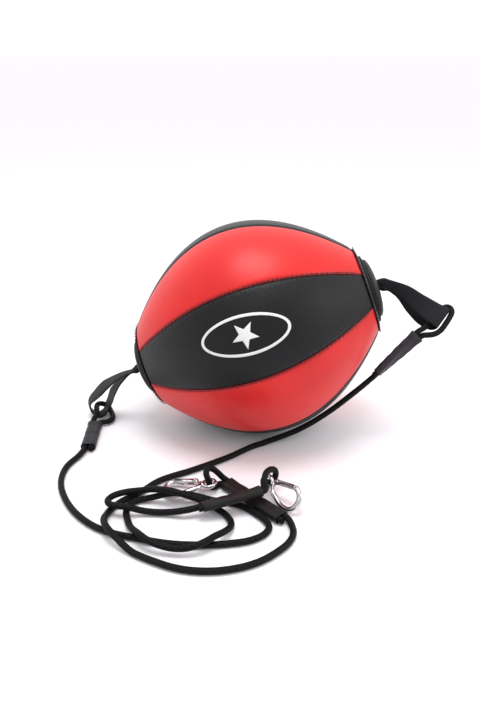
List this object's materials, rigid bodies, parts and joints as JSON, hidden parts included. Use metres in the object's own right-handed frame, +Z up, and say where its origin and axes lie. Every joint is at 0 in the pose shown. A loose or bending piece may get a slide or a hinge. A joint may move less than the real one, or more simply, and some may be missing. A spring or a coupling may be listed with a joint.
{
  "type": "double-end ball",
  "caption": "Inflated leather striking ball in two colours, with a webbing strap, an elastic cord and a sprung snap hook at each end, lying on the floor.",
  "frame": {"origin": "the ball's lowest point, at the middle of the small flat patch it rests on", "axes": "+X towards the end cap with the raised strap, seen from above, +Y away from the cords' coil, +Z up"},
  "size_m": [0.3736, 0.3477, 0.2089],
  "materials": {
    "black_leather": "grained satin",
    "red_leather": "smooth, semi-gloss",
    "webbing": "woven, matte",
    "cord": "braided, matte",
    "sleeve": "soft satin",
    "rubber": "matte",
    "cotton": "woven, matte",
    "steel": "nickel plated"
  },
  "bodies": {
    "ball": {"panel_black_1": "black_leather", "panel_black_2": "black_leather", "panel_black_3": "black_leather", "panel_black_4": "black_leather", "panel_red_1": "red_leather", "panel_red_2": "red_leather", "panel_red_3": "red_leather", "panel_red_4": "red_leather", "inner_lining": "cotton", "bladder": "rubber", "bladder_valve": "rubber", "end_collar_left": "black_leather", "end_disc_left": "black_leather", "end_boss_left": "black_leather", "end_collar_right": "black_leather", "end_disc_right": "black_leather", "end_boss_right": "black_leather", "hanging_strap_left": "webbing", "hanging_strap_right": "webbing", "sleeve_left_strap": "sleeve", "sleeve_left_hook": "sleeve", "sleeve_right_strap": "sleeve", "sleeve_right_hook": "sleeve", "cord_left_strap_loop": "cord", "cord_left": "cord", "cord_left_hook_loop": "cord", "cord_right_strap_loop": "cord", "cord_right": "cord", "cord_right_hook_loop": "cord"},
    "left_hook": {"left_hook_body": "steel", "left_hook_rivet": "steel"},
    "left_gate": {"left_hook_gate": "steel", "left_gate_spring": "steel"},
    "right_hook": {"right_hook_body": "steel", "right_hook_rivet": "steel"},
    "right_gate": {"right_hook_gate": "steel", "right_gate_spring": "steel"}
  },
  "joints": [
    {"name": "left_hook_swing", "type": "hinge", "parent": "ball", "child": "left_hook", "pos_m": [0.0066, -0.1345, 0.0112], "axis": [-0.6481, -0.5009, 0.5736], "range_deg": [0, 30]},
    {"name": "left_gate_hinge", "type": "hinge", "parent": "left_hook", "child": "left_gate", "pos_m": [0.01599, -0.14178, 0.01546], "axis": [0.6481, 0.5009, -0.5736], "range_deg": [0, 25], "stiffness_Nm_per_rad": 0.02, "springref_deg": -14.9},
    {"name": "right_hook_swing", "type": "hinge", "parent": "ball", "child": "right_hook", "pos_m": [-0.0442, -0.133, 0.0085], "axis": [0.1285, 0.009, -0.9917], "range_deg": [0, 12]},
    {"name": "right_gate_hinge", "type": "hinge", "parent": "right_hook", "child": "right_gate", "pos_m": [-0.05594, -0.12861, 0.00702], "axis": [-0.1285, -0.009, 0.9917], "range_deg": [0, 25], "stiffness_Nm_per_rad": 0.02, "springref_deg": -14.9}
  ]
}
